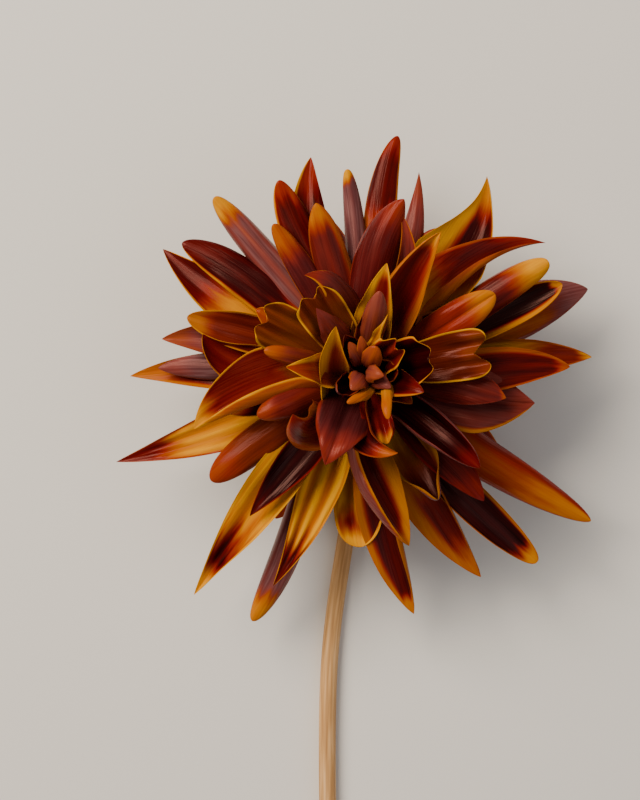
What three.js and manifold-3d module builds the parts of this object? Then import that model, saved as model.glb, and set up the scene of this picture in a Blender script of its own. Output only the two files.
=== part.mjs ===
// Dahlia, cut and laid down on its back: the bloom looks up, and the stem bends
// below it and lies along -Y. Millimetres, +Z up. The flower lies on z = 0 and
// the origin is below the middle of the whole flower's box.
import * as THREE from 'three';
import { mergeVertices } from 'three/addons/utils/BufferGeometryUtils.js';
import Module from 'manifold-3d';

const wasm = await Module();
wasm.setup();

// Driving dimensions.
const petalThickness = 0.8;
const marginThickness = 0.6;
const clawWidth = 0.3; // a petal's width at its root, as a share of its full width
const clawCup = 55; // degrees that each half of a petal's claw is folded up
const rolledFold = 150; // degrees of fold from which a petal's halves have a corner more
const longReach = 36; // reach from which a petal has a ring of points more
const simplifyBy = 0.05; // triangles flatter than this after joining are merged
const smallestHalf = 0.55; // half the width at the very tip
const receptacleFoot = 9.8; // radius of its flat underside
const receptacleRadius = 15.5;
const receptacleBase = 28; // height of the flat underside of the receptacle
const receptacleTop = 50;
const pressedHeight = -8; // how far down the tips that carry the bloom would reach
const contactGap = 0.3; // left between the calyx and what it touches
const calyxBottom = 18;
const neckRadius = 3.1;
const stemRadius = 2.5;
const stemSides = 10;
const stemSteps = 34; // rings along the stem
const neckBendRadius = 14.5;
const stemEndBelow = 196; // from the bloom's axis to the cut end, along -Y
const cutSlant = 18; // degrees that the cut end is off square

// Each whorl's florets grow from a ring on the receptacle: its radius and height.
const whorlRoots = {
  back: [8.6, 29],
  outer: [8.6, 30.5],
  second: [7.8, 33],
  third: [6.6, 35.5],
  fourth: [5, 37.5],
  inner: [3.2, 39],
  heart: [1.2, 40],
};

// The florets that show, one row each, going outwards from the axis:
//   azimuth, reach and height of the tip; full width; rise of the midline as it
//   leaves the root and as it comes to the tip; swing from the root's azimuth to
//   the tip's; turn of the tip's heading off its azimuth; roll about the midline,
//   positive to the left; cup of the middle and of the tip (edges up is positive);
//   point (1 is sharp, 0 is round, below that is blunt); height of the ruffle along
//   the end; crease down the middle; lean of the cup to the left; share of the
//   length where it is widest; depth of the notch in the end.
const florets = {
  outer: [
    [81.8, 66.2, 27, 10, 28, -8, 4, -14, 0, -30, -30, 0.05, 0, 0, 0, 0.36, 0],
    [74.7, 57.4, 29, 10.8, 34, 12, 6, 16, 0, -44, -19, 1.1, 0, 0, 0, 0.4, 0],
    [62.1, 44.8, 29, 12.7, 20, 0, 0, 0, 0, -38, -19, 0.1, 0, 0, 0, 0.5, 0],
    [58, 63.6, 32, 26, 20, 30, 10, 34, -8, 65, 90, 1.25, 0, 0, -35, 0.5, 0],
    [35.5, 61, 34, 19, 35, -8, -14, -40, -6, 95, 70, 1.3, 0, 0, -85, 0.4, 0],
    [30.9, 57.9, 42, 12, 30, 0, 4, -4, 0, -76, -80, -0.3, 0, 0, 0, 0.6, 0],
    [20.5, 66.3, 26, 17, 14, -6, 0, -10, 14, -32, -19, 0.6, 0, 0, 0, 0.6, 0],
    [3.9, 63, 29, 14.5, 12, -6, 6, -8, 6, 32, 34, 0.8, 0, 7, 0, 0.45, 0],
    [-33.1, 75.6, 23, 13, 10, -12, 5, 4, 0, -30, -25, 0.25, 0, -9, 0, 0.3, 0],
    [-47.5, 71.4, 24, 11.3, 10, -12, 8, 6, 0, 44, 55, 0, 0, 0, 0, 0.5, 0],
    [-60.1, 65.7, 22, 16, 8, -14, 4, 6, 0, 60, 60, 0.8, 0, 0, 60, 0.5, 0],
    [-78.2, 68.7, 22, 16, 8, -14, 6, 8, 0, 90, 60, 0.75, 0, 0, 60, 0.5, 0],
    [-113.1, 64.1, 28, 13.8, 10, -8, 0, -10, 0, 51, 70, 0.95, 0, 0, 0, 0.38, 0],
    [-114.2, 76, 21, 10.5, 5, -14, 6, -8, 0, -62, -60, -0.1, 0, 0, 0, 0.5, 0],
    [-127.4, 77.6, 25, 16.5, 12, -12, 2, 2, 0, 16, 50, 0.85, 0, 28, 16, 0.42, 0],
    [-160.2, 73.1, 25, 13.9, 8, -10, -3, -6, 0, 25, 40, 1, 0, 9, 0, 0.42, 0],
    [-179.2, 65, 24, 11.5, 8, -10, 0, 8, 0, 35, 34, 0.9, 0, 0, 0, 0.5, 0],
    [178.7, 56.8, 30, 10.5, 16, -8, 2, 4, 0, -62, -25, 0.6, 0, 0, 0, 0.5, 0],
    [170.6, 56.4, 31, 12.5, 20, 0, 6, 14, 0, 25, 34, 0.75, 0, 10, 0, 0.5, 0],
    [148.4, 65.3, 27, 14.5, 12, -8, -6, -14, 0, 35, 40, 0.85, 0, 0, 0, 0.5, 0],
    [144.6, 61.4, 32, 11.3, 24, -6, 0, 14, -6, -25, -31, 0.15, 0, 0, 0, 0.55, 0],
    [130.6, 63.3, 33, 10.4, 26, 0, 0, 0, 0, -66, -64, -0.1, 0, 0, 0, 0.5, 0],
    [114, 57.4, 36, 11.6, 32, 8, 4, -8, 0, -44, -25, 0.2, 0, 0, 0, 0.5, 0],
    [103.9, 61, 31, 13.1, 26, 6, -14, -24, 0, 35, 34, 0.75, 0, 12, 0, 0.55, 0],
    [94.9, 55.7, 35, 8, 32, 6, 0, 6, 0, -72, -72, -0.3, 0, 0, 0, 0.3, 0],
  ],
  second: [
    [24.1, 58.9, 37, 13.4, 26, 16, 0, 4, 0, 74, 66, 0.1, 0, 0, 0, 0.5, 0],
    [1.5, 55.9, 37, 12.9, 16, -4, 8, -8, 0, 28, 34, 0.6, 0, 0, 0, 0.48, 0],
    [-10.2, 47.1, 37, 21, 20, 6, 2, 14, 4, -72, -50, 0.95, 0, 48, 0, 0.6, 0],
    [-47.2, 47.8, 37, 11.5, 18, -6, 2, -6, 0, 35, 40, 0.6, 0, 0, 0, 0.5, 0],
    [-60.2, 39.9, 40, 15.4, 24, 34, 0, 0, 0, 60, 140, -0.3, 0, 0, 0, 0.6, 0],
    [-75.7, 48.7, 38.5, 21, 30, -16, 30, 20, 0, 120, 110, 0.95, 0, 0, -50, 0.55, 0],
    [-90.7, 48.1, 29, 14.8, 8, 30, 0, 12, 0, 38, 43, -1.2, 0, 0, 0, 0.55, 0],
    [-128.6, 50.1, 37, 11.7, 20, -10, -4, 2, 0, 54, 64, 0.9, 0, 0, 0, 0.5, 0],
    [-144.7, 51.4, 34, 11.4, 18, -16, 2, 8, 0, -48, -43, -0.1, 0, 0, 0, 0.5, 0],
    [-164.9, 40.4, 39, 12.5, 18, 0, 4, 0, 0, 70, 60, 0.5, 0, 0, 0, 0.5, 0],
    [166.8, 45, 41, 15.4, 16, 34, -15, -50, 0, 62, 70, 0.6, 0, 0, 0, 0.5, 0],
    [162.7, 50.7, 36, 11.7, 24, -6, 6, 0, 0, 41, 49, 0.2, 0, 0, 0, 0.5, 0],
    [121.8, 47.1, 41, 9.3, 34, 4, 0, 2, 0, -62, -70, 0, 0, 0, 0, 0.5, 0],
    [106.2, 47.5, 42, 12.4, 38, 8, 0, -2, 0, -62, -28, 0.4, 0, 0, 0, 0.5, 0],
  ],
  third: [
    [124.5, 14.1, 65, 16, 12, 56, -98, -41, 0, 60, 60, 1, 0, 0, -28, 0.32, 0],
    [31, 40.3, 49, 11.5, 34, 2, 4, 2, 0, -100, -90, 0, 0, 42, 0, 0.5, 0],
    [-10.6, 38.3, 47, 12.9, 30, -10, -8, -10, 0, -28, 19, 0.7, 0, -8, 0, 0.5, 0],
    [-40, 40.1, 47, 18.5, 30, -12, 2, -4, 0, 118, 100, 0.75, 0, 0, 0, 0.5, 0],
    [-161.5, 48.5, 45, 23, 34, -14, 16, 24, 6, 112, 96, 0.95, 0, 0, 74, 0.5, 0],
    [77.4, 47.2, 49, 17.6, 46, 10, -8, -26, 0, -62, -49, 0.55, 0, -8, 0, 0.45, 0],
    [77.4, 43.6, 47, 7.8, 40, 12, 16, 34, 0, 54, 64, 0.95, 0, 0, 0, 0.5, 0],
    [61.7, 42.1, 52, 21, 44, 14, -4, -12, 6, 105, 100, 0.9, 0, 0, 20, 0.45, 0],
  ],
  fourth: [
    [9.6, 34.3, 51, 13.8, 34, 10, 0, 0, 0, 25, 0, -1.4, 1.1, 0, 0, 0.72, 5],
    [153.3, 32.3, 51, 13.6, 36, 16, 0, 0, 0, 35, 0, -1.3, 2.2, 0, 0, 0.7, 2.5],
    [168.1, 27.6, 53, 6.2, 36, -10, 0, 0, 0, -62, -60, -0.2, 0, 0, 0, 0.5, 0],
    [-157.8, 31.2, 51, 10.3, 36, -20, 4, 0, 0, -62, -70, -0.1, 0, 0, 0, 0.5, 0],
    [122.8, 30.2, 56, 9.5, 60, 4, 22, 62, 0, -38, 34, 1, 0, 0, 0, 0.5, 0],
    [126.1, 25.6, 56, 13.1, 52, 20, 0, 0, 0, 35, 0, -1.3, 1.9, 0, 0, 0.7, 1.5],
    [79.2, 28.9, 59, 12.5, 62, 34, 0, 0, 0, 50, 60, 0.8, 0, 0, -24, 0.4, 0],
    [-113.8, 26.9, 60, 16.5, 56, -24, 2, 0, 0, -50, -40, 0.9, 0, 34, 12, 0.45, 0],
    [-149.7, 22.2, 63, 15, 4, 30, -30, -110, 0, -30, -40, 0.95, 0, 0, 0, 0.45, 0],
  ],
  inner: [
    [80.5, 21.2, 62, 9, 62, 14, 0, 0, 0, -70, -70, 0.25, 0, 0, 0, 0.5, 0],
    [69.6, 15.8, 65, 3.6, 74, 40, -10, 0, 60, 60, 60, 1, 0, 0, 0, 0.5, 0],
    [128.6, 21.2, 60, 8.8, 60, 24, 0, 0, 0, -28, -16, 0.9, 0, -12, 0, 0.5, 0],
    [177.1, 21.1, 61, 10.3, 44, 6, 0, 0, 0, 30, 40, 0.85, 0, 0, 0, 0.5, 0],
    [12.3, 17.3, 61, 14.7, 56, 44, 0, 0, 0, 62, 34, -1.1, 1.2, 0, 0, 0.7, 0],
    [39.8, 11, 62, 10.2, 72, 56, 0, 0, 0, 62, 34, -0.8, 1.2, 0, 0, 0.7, 1],
    [-20, 16, 62, 10.6, 64, 20, 0, 0, 0, 54, 34, 0.7, 0, 0, 0, 0.5, 0],
    [-68.9, 22.9, 61, 11, 50, 6, 42, 68, 0, 62, 70, 0.9, 0, 0, 28, 0.5, 0],
    [-76.9, 19.7, 56, 8.4, 62, 20, 0, 0, 0, 38, 0, -0.8, 1.2, 0, 0, 0.7, 0],
    [-66.1, 13.7, 64, 4, 66, 4, -40, -16, 0, -60, -40, -0.4, 0, 0, 0, 0.3, 0],
  ],
  heart: [
    [120.8, 8.9, 60, 4.6, 80, 16, 0, 0, 0, -40, -40, 0.2, 0, 0, 0, 0.5, 0],
    [98.9, 9.3, 61, 4.2, 80, 16, 0, 0, 0, -40, -40, 0.2, 0, 0, 0, 0.5, 0],
    [69.2, 7, 61, 6.6, 84, 10, 0, 0, 0, -44, -40, -0.2, 0, 0, 0, 0.5, 0],
    [-129.3, 6.4, 61, 6.6, 84, 10, 0, 0, 0, -44, -40, 0.2, 0, 0, 0, 0.5, 0],
    [-15.9, 4.7, 62, 6, 84, 8, 0, 0, 0, -44, -40, 0.3, 0, 0, 0, 0.5, 0],
    [-34.3, 7.8, 59, 5.4, 80, 6, 0, 0, 0, -40, -40, 0.3, 0, 0, 0, 0.5, 0],
    [-121.4, 9.8, 61, 3.4, 66, 0, -60, -32, 0, -60, -60, -0.4, 0, 0, 0, 0.5, 0],
    [-143.7, 9.2, 58, 7, 72, 100, 0, 0, 0, 50, 60, 0.6, 0, 0, 0, 0.5, 0],
    [-1.6, 8.3, 60, 7.5, 68, 90, 0, 0, 0, 44, 40, 0.5, 0, 0, 0, 0.5, 0],
    [120.8, 11, 61, 7, 70, 80, 0, 0, 0, 44, 60, 0.7, 0, 0, 0, 0.5, 0],
  ],
};

const degrees = THREE.MathUtils.degToRad;
const smoothstep = (x, from, to) => THREE.MathUtils.smoothstep(x, from, to);

// Even spread of values from 0 to 1 for the florets that are placed by rule.
const spread = (count, step) => (count * step) % 1;

// Whorls that fill in behind and between the florets listed above. The back one
// holds the bloom up off the surface and leaves room for the stem.
const fillWhorls = [
  { whorl: 'back', count: 11, first: -70, step: 31, reach: [40, 5], height: [3, 4], width: 12.4,
    launch: -9, arrive: -24, sway: 10, cup: [-18, -8], point: 0.5, pressed: [1, 5, 9] },
  { whorl: 'outer', count: 8, first: 14, step: 45, reach: [44, 5], height: [11, 5], width: 12.4,
    launch: -1, arrive: -26, sway: 10, cup: [-14, -10], point: 0.6 },
  { whorl: 'third', count: 2, first: 30, step: 120, reach: [31, 4], height: [40, 3], width: 11.5,
    launch: 30, arrive: -6, sway: 16, cup: [26, 40], point: 0.6 },
  { whorl: 'inner', count: 2, first: -35, step: 120, reach: [15, 5], height: [53, 4], width: 8.5,
    launch: 66, arrive: 40, sway: 20, cup: [46, 60], point: 0.6 },
];

function fillRows(fill) {
  const { count, first, step, reach, height, width, launch, arrive, sway, cup, point, pressed = [] } = fill;
  return Array.from({ length: count }, (_, i) => [
    first + i * step,
    reach[0] + reach[1] * spread(i, 0.755),
    pressed.includes(i) ? pressedHeight : height[0] + height[1] * spread(i, 0.57),
    width,
    launch,
    arrive,
    0,
    sway * (spread(i, 0.45) - 0.5),
    0,
    cup[0],
    cup[1],
    point,
    0,
    0,
    0,
    0.5,
    0,
  ]);
}

// Unit vector of a heading at an azimuth and a rise, both in degrees.
function heading(azimuth, rise) {
  const flat = Math.cos(degrees(rise));
  return new THREE.Vector3(
    flat * Math.cos(degrees(azimuth)),
    flat * Math.sin(degrees(azimuth)),
    Math.sin(degrees(rise)),
  );
}

// Half the width of a blade at share t of its length: it widens from the claw
// like a sine, and closes to the tip like a superellipse.
function halfWidth(t, width, point, belly) {
  if (t < belly) {
    const rise = Math.sin(((t / belly) * Math.PI) / 2);
    return (width / 2) * (clawWidth + (1 - clawWidth) * rise);
  }
  const toTip = (t - belly) / (1 - belly);
  const fullness = 2.6 - 1.2 * point;
  const sharpness = Math.max(0.42, 0.5 + 0.42 * point);
  return Math.max(smallestHalf, (width / 2) * (1 - toTip ** fullness) ** sharpness);
}

// One closed blade. Its midline is a cubic curve from root to tip, and its side
// vector turns evenly from the root's heading to the tip's. Across the midline
// lie two arcs, left and right, that leave it at the angle of the crease; their
// fold goes from the claw's to the cup and then the beak, and the lean is added
// on the left and taken from the right. The ruffle is a cosine across the end,
// and the notch draws its middle back. Each cross-section is a loop of top points
// and underside points. What would reach below the surface is pressed flat on it.
function blade(root, row, columns, stations) {
  const [azimuth, reach, height, width, launch, arrive, swing, turn, roll,
    cup, beak, point, ruffle, crease, lean, belly, notch] = row;
  const rootAzimuth = azimuth - swing;
  const start = heading(rootAzimuth, 0).multiplyScalar(root[0]).setZ(root[1]);
  const end = heading(azimuth, 0).multiplyScalar(reach).setZ(height);
  const pull = start.distanceTo(end) * 0.36;
  const midline = new THREE.CubicBezierCurve3(
    start,
    heading(rootAzimuth, launch).multiplyScalar(pull).add(start),
    heading(azimuth + turn, arrive).multiplyScalar(-pull).add(end),
    end,
  );
  const positions = [];
  for (let i = 0; i <= stations; i += 1) {
    const t = i / stations;
    const centre = midline.getPoint(t);
    const along = midline.getTangent(t);
    const side = heading(rootAzimuth + (swing + turn) * t + 90, 0);
    const up = along.clone().cross(side).normalize();
    const across = up.clone().cross(along);
    const twist = degrees(-roll) * smoothstep(t, 0, 1);
    up.applyAxisAngle(along, twist);
    across.applyAxisAngle(along, twist);
    const half = halfWidth(t, width, point, belly);
    const opened = smoothstep(t, 0.02, 0.35);
    const atEnd = smoothstep(t, 0.45, 1);
    const creased = degrees(crease) * opened;
    const place = (v, lift) => {
      const left = Math.sign(v);
      const fold = clawCup + (cup - clawCup + left * lean) * opened
        + (beak - cup) * smoothstep(t, 0.6, 1);
      const arc = degrees(Math.abs(fold) < 1 ? 1 : fold);
      const angle = creased + arc * Math.abs(v);
      const sideways = (v * half) / (width / 2);
      const wave = ruffle * atEnd * Math.cos(2.6 * Math.PI * sideways + 0.6);
      const x = left * ((half * (Math.sin(angle) - Math.sin(creased))) / arc - lift * Math.sin(angle));
      const y = (half * (Math.cos(creased) - Math.cos(angle))) / arc + lift * Math.cos(angle) + wave;
      const back = notch * atEnd * Math.exp(-((sideways / 0.38) ** 2));
      const spot = centre.clone().addScaledVector(across, x).addScaledVector(up, y)
        .addScaledVector(along, -back);
      return spot.setZ(Math.max(spot.z, lift > 0 ? marginThickness : 0));
    };
    const lifts = (v) => (petalThickness + (marginThickness - petalThickness) * Math.abs(v)) / 2;
    for (let j = 0; j < columns; j += 1) {
      const v = (2 * j) / (columns - 1) - 1;
      positions.push(place(v, lifts(v)));
    }
    for (let j = columns - 1; j >= 0; j -= 1) {
      const v = (2 * j) / (columns - 1) - 1;
      positions.push(place(v, -lifts(v)));
    }
  }
  return loft(positions, columns, stations);
}

// Closed solid through equal loops of points, capped by a fan at both ends. Top
// and underside are split along the same diagonals.
function loft(points, columns, stations) {
  const loop = 2 * columns;
  const triangles = [];
  const quad = (a, b, c, d, flip) => {
    triangles.push(...(flip ? [a, b, d, b, c, d] : [a, b, c, a, c, d]));
  };
  for (let i = 0; i < stations; i += 1) {
    for (let j = 0; j < loop; j += 1) {
      const next = (j + 1) % loop;
      const under = j >= columns && j < loop - 1;
      quad(i * loop + j, (i + 1) * loop + j, (i + 1) * loop + next, i * loop + next, under);
    }
  }
  const last = stations * loop;
  for (let j = 0; j < columns - 1; j += 1) {
    const mate = loop - 1 - j;
    quad(j, j + 1, mate - 1, mate, false);
    quad(last + mate, last + mate - 1, last + j + 1, last + j, false);
  }
  const geometry = new THREE.BufferGeometry().setFromPoints(points);
  geometry.setIndex(triangles);
  return geometry;
}

function solid(geometry) {
  geometry.deleteAttribute('normal');
  geometry.deleteAttribute('uv');
  const merged = mergeVertices(geometry, 1e-4);
  return new wasm.Manifold(new wasm.Mesh({
    numProp: 3,
    vertProperties: new Float32Array(merged.attributes.position.array),
    triVerts: new Uint32Array(merged.index.array),
  }));
}

// The largest body of a solid: loose scraps go, and a sealed hollow is filled.
function mainBody(whole) {
  return whole.decompose().reduce((most, body) => (body.volume() > most.volume() ? body : most));
}

function mesh(name, body, material) {
  const shape = body.getMesh();
  const geometry = new THREE.BufferGeometry();
  geometry.setAttribute('position', new THREE.BufferAttribute(shape.vertProperties, 3));
  geometry.setIndex(new THREE.BufferAttribute(shape.triVerts, 1));
  geometry.computeVertexNormals();
  const piece = new THREE.Mesh(geometry, material);
  piece.name = name;
  return piece;
}

// Everything below the surface that the flower lies on, which the stem presses against.
function underSurface() {
  const block = new THREE.BoxGeometry(600, 600, 100);
  block.translate(0, 0, -50);
  return solid(block);
}

function turned(profile, segments) {
  const geometry = new THREE.LatheGeometry(profile.map(([x, y]) => new THREE.Vector2(x, y)), segments);
  geometry.rotateX(Math.PI / 2);
  return solid(geometry);
}

// Bloom: the ray florets, grown from the domed receptacle.
function receptacle() {
  return turned([
    [0, receptacleBase],
    [receptacleFoot, receptacleBase],
    [receptacleRadius, receptacleBase + 3],
    [receptacleRadius, receptacleBase + 8],
    [receptacleRadius * 0.8, receptacleBase + 16],
    [receptacleRadius * 0.45, receptacleTop - 1.5],
    [0, receptacleTop],
  ], 20);
}

function bloom() {
  let whole = receptacle();
  const grow = (whorl, row) => {
    const reach = row[1];
    const stations = reach > longReach ? 5 : 4;
    const columns = row[9] + Math.abs(row[14]) > rolledFold ? 5 : 3;
    whole = whole.add(solid(blade(whorlRoots[whorl], row, columns, stations)));
  };
  Object.entries(florets).forEach(([whorl, rows]) => rows.forEach((row) => grow(whorl, row)));
  fillWhorls.forEach((fill) => fillRows(fill).forEach((row) => grow(fill.whorl, row)));
  return mainBody(whole.simplify(simplifyBy));
}

// Calyx: the cup under the receptacle, with an inner and an outer row of bracts.
function calyx() {
  const top = receptacleBase - contactGap;
  let whole = turned([
    [0, calyxBottom],
    [neckRadius, calyxBottom],
    [neckRadius + 1.2, calyxBottom + 2],
    [receptacleFoot - 1.4, top - 3],
    [receptacleFoot, top],
    [0, top],
  ], 24);
  const bract = (azimuth, reach, height, width, launch, arrive) =>
    [azimuth, reach, height, width, launch, arrive, 0, 0, 0, -18, -24, 0.5, 0, 0, 0, 0.5, 0];
  for (let i = 0; i < 8; i += 1) {
    const row = bract(i * 45, 17, 20.6, 9, -14, -34);
    whole = whole.add(solid(blade([7, top - 1.8], row, 3, 4)));
  }
  for (let i = 0; i < 6; i += 1) {
    const row = bract(i * 60, 17, 13.6, 5.4, -14, -52);
    whole = whole.add(solid(blade([5, top - 5.2], row, 3, 4)));
  }
  return mainBody(whole.simplify(simplifyBy));
}

// Stem: down from the calyx, round the bend and along the surface.
function stem() {
  const level = stemRadius - 0.1; // a thin strip of the stem lies flat on the surface
  const bendTop = level + neckBendRadius;
  const bend = [0, 18, 36, 54, 72, 90].map((angle) => new THREE.Vector3(
    0,
    -neckBendRadius * (1 - Math.cos(degrees(angle))),
    bendTop - neckBendRadius * Math.sin(degrees(angle)),
  ));
  const course = [[-1.6, -30], [-5, -49], [-9.2, -80], [-10, -120], [-8.5, -160], [-6, -stemEndBelow - 5]];
  const path = new THREE.CatmullRomCurve3([
    new THREE.Vector3(0, 0, calyxBottom - contactGap),
    ...bend,
    ...course.map(([x, y]) => new THREE.Vector3(x, y, level)),
  ], false, 'centripetal');
  const round = new THREE.EllipseCurve(0, 0, stemRadius, stemRadius);
  const section = new THREE.Shape(round.getPoints(stemSides).slice(0, stemSides));
  const along = { steps: stemSteps, bevelEnabled: false, extrudePath: path };
  const tube = solid(new THREE.ExtrudeGeometry(section, along));
  const cutter = new THREE.BoxGeometry(40, 20, 40);
  cutter.translate(0, -10, 0);
  cutter.rotateX(degrees(-cutSlant));
  cutter.translate(0, -stemEndBelow, 0);
  return mainBody(tube.subtract(underSurface()).subtract(solid(cutter)));
}

// Materials.
const petalPaint = new THREE.MeshStandardMaterial({ color: '#6e1d14', roughness: 0.5 });
const calyxPaint = new THREE.MeshStandardMaterial({ color: '#6f7a3a', roughness: 0.6 });
const stemPaint = new THREE.MeshStandardMaterial({ color: '#a9885a', roughness: 0.65 });

// The whole flower, moved so that the origin is below the middle of its box.
const group = new THREE.Group();
group.add(mesh('bloom', bloom(), petalPaint));
group.add(mesh('calyx', calyx(), calyxPaint));
group.add(mesh('stem', stem(), stemPaint));
const middle = new THREE.Box3().setFromObject(group).getCenter(new THREE.Vector3());
group.position.set(-middle.x, -middle.y, 0);

export default group;
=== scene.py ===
import bpy
import numpy as np
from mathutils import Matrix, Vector


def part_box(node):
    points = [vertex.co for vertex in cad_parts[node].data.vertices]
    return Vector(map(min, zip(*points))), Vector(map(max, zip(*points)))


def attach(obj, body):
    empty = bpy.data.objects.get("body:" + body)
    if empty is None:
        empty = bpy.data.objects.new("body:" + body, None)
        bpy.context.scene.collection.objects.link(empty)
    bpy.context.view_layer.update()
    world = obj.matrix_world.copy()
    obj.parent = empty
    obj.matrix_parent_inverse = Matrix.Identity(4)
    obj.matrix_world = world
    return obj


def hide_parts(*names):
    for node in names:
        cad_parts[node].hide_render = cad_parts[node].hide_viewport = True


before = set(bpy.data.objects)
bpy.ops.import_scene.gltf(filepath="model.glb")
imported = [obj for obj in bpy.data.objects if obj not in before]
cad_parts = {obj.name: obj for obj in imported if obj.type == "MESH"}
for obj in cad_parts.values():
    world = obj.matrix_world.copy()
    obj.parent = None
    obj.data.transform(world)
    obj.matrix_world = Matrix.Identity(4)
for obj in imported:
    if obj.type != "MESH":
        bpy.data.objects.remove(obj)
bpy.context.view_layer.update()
mm = 0.001
root = "root"

# the axis of the bloom stands over the middle of the calyx
calyxLow, calyxHigh = (np.array(corner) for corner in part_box("calyx"))
bloomAxis = (calyxLow + calyxHigh) / 2 * [1, 1, 0]


def linear(code):
    # sRGB hex to linear: below 0.04045 a straight line, above it a power of 2.4
    value = np.array([int(code[i:i + 2], 16) for i in (1, 3, 5)]) / 255
    return tuple(np.where(value <= 0.04045, value / 12.92, ((value + 0.055) / 1.055) ** 2.4)) + (1.0,)


def smooth(x, start, end):
    # 3s^2 - 2s^3 of the share s of the way from start to end
    s = np.clip((x - start) / (end - start), 0, 1)
    return s * s * (3 - 2 * s)


def spread(count, step):
    # even spread of values from 0 to 1, the same in every run
    return (count * step) % 1


def heading(azimuth, rise):
    # unit vector at an azimuth and a rise in degrees
    a, e = np.radians(azimuth), np.radians(rise)
    return np.array([np.cos(e) * np.cos(a), np.cos(e) * np.sin(a), np.sin(e)])


def addNode(tree, kind, inputs=None, **settings):
    # adds a node, sets its properties, and sets or links its inputs by name or number
    node = tree.nodes.new(kind)
    for name, value in settings.items():
        setattr(node, name, value)
    for name, value in (inputs or {}).items():
        if isinstance(value, bpy.types.NodeSocket):
            tree.links.new(value, node.inputs[name])
        else:
            node.inputs[name].default_value = value
    return node


def newMaterial(name):
    material = bpy.data.materials.new(name)
    material.use_nodes = True
    material.node_tree.nodes.clear()
    return material, material.node_tree


def finishMaterial(tree, inputs):
    shader = addNode(tree, "ShaderNodeBsdfPrincipled", inputs)
    addNode(tree, "ShaderNodeOutputMaterial", {"Surface": shader.outputs[0]})


def colourRamp(tree, factor, stops):
    ramp = addNode(tree, "ShaderNodeValToRGB", {"Fac": factor})
    elements = ramp.color_ramp.elements
    while len(elements) < len(stops):
        elements.new(0.5)
    for element, (place, code) in zip(elements, stops):
        element.position = place
        element.color = linear(code)
    return ramp.outputs["Color"]


def calculate(tree, operation, *values):
    return addNode(tree, "ShaderNodeMath", dict(enumerate(values)), operation=operation).outputs[0]


def noise(tree, vector, detail):
    # noise whose size comes from the vector alone
    settings = {"Vector": vector, "Scale": 1.0, "Detail": detail}
    return addNode(tree, "ShaderNodeTexNoise", settings).outputs["Fac"]


plantIor = 1.45  # how strongly the wax on a plant's skin bends light

petalSkin = {
    "veinSpacing": 0.5,       # mm between the fine veins along a floret
    "streakSpacing": 2.4,     # mm between the broad streaks of colour
    "veinRun": 16.0,          # mm that a vein keeps its strength
    "veinDepth": 0.00016,     # m that the veins stand out
    "bump": 0.7,              # share of that depth that the light shows
    "streakRelief": 1.05,     # how many times higher than the veins the broad streaks stand
    "golden": (0.7, 0.22),    # warmth of the face next to the root, and what a long golden base adds
    "wander": 0.36,           # share of the length that the streaks shift the golden base's edge
    "tipWander": 0.4,         # how much of that shift the tip's colour has
    "rimWander": 0.2,         # and the margin's
    "baseEdge": (-0.15, 0.11),  # where the golden base starts and ends to fade, from its own share
    "tipEdge": (-1.4, -0.4),  # where the tip's colour starts and is full: its own shares from the end
    "rimEdge": (-1.5, -0.5),  # where the margin's colour starts and is full: its own widths from the edge
    "rimRoot": (0.12, 0.4),   # shares of the length between which the margin's colour comes in
    "grain": (0.12, 0.2),     # warmth that the fine veins and the broad streaks add and take
    "seedShift": 40.0,        # how far apart in the noise the florets' patterns can lie
    "ribs": 3,                # half waves of the ribs from the middle to the margin
    "ribHighlight": 0.28,        # painted highlight on the crest of a rib and painted shade in its trough, as warmth for each mm of its height
    "roughness": (0.22, 0.34),  # of the waxy and of the drier veins
    "shine": (0.27, 0.03),    # specular level of the darkest skin, and of the clear yellow
    "shineFade": (0.35, 0.85),  # warmth where the shine starts and ends to fall
    "shineTint": "#ffb6a8",   # the wax over red pigment reflects a little pink
    # colour of the face from the coolest, almost black, to the warmest, clear yellow
    "face": [(0.0, "#100002"), (0.14, "#300204"), (0.3, "#620804"), (0.44, "#841c02"), (0.54, "#8c3603"),
             (0.64, "#a04c02"), (0.78, "#b26800"), (0.9, "#c67e00"), (1.0, "#d89600")],
    # the same for the reverse, which is pinker and greyer
    "reverse": [(0.0, "#26060a"), (0.25, "#4c1214"), (0.42, "#70261c"), (0.58, "#944010"),
                (0.74, "#ae6002"), (0.9, "#c27c00"), (1.0, "#d89600")],
    # the same, darker and duller, for the face of the florets near the middle: painted shade for the shade
    # deep in the bloom
    "shadedFace": [(0.0, "#140402"), (0.2, "#2a0a02"), (0.4, "#4a2402"), (0.55, "#5e3a02"),
              (0.75, "#8c5e02"), (1.0, "#c89204")],
    "bloom": "#c09a9c",       # painted sheen: pale streaks on the reverse where its satin reflects the light
    "paintedSheenStrength": 0.2,
    "paintedSheenFade": (0.62, 0.2),  # warmth where the painted sheen ends, and where it is full
    "paintedSheenStreaks": (0.9, 1.25),  # sum of both noises where a streak of the painted sheen starts and is full
    "paintedSheenBetween": 0.4,      # strength of the painted sheen between its streaks
}


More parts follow.
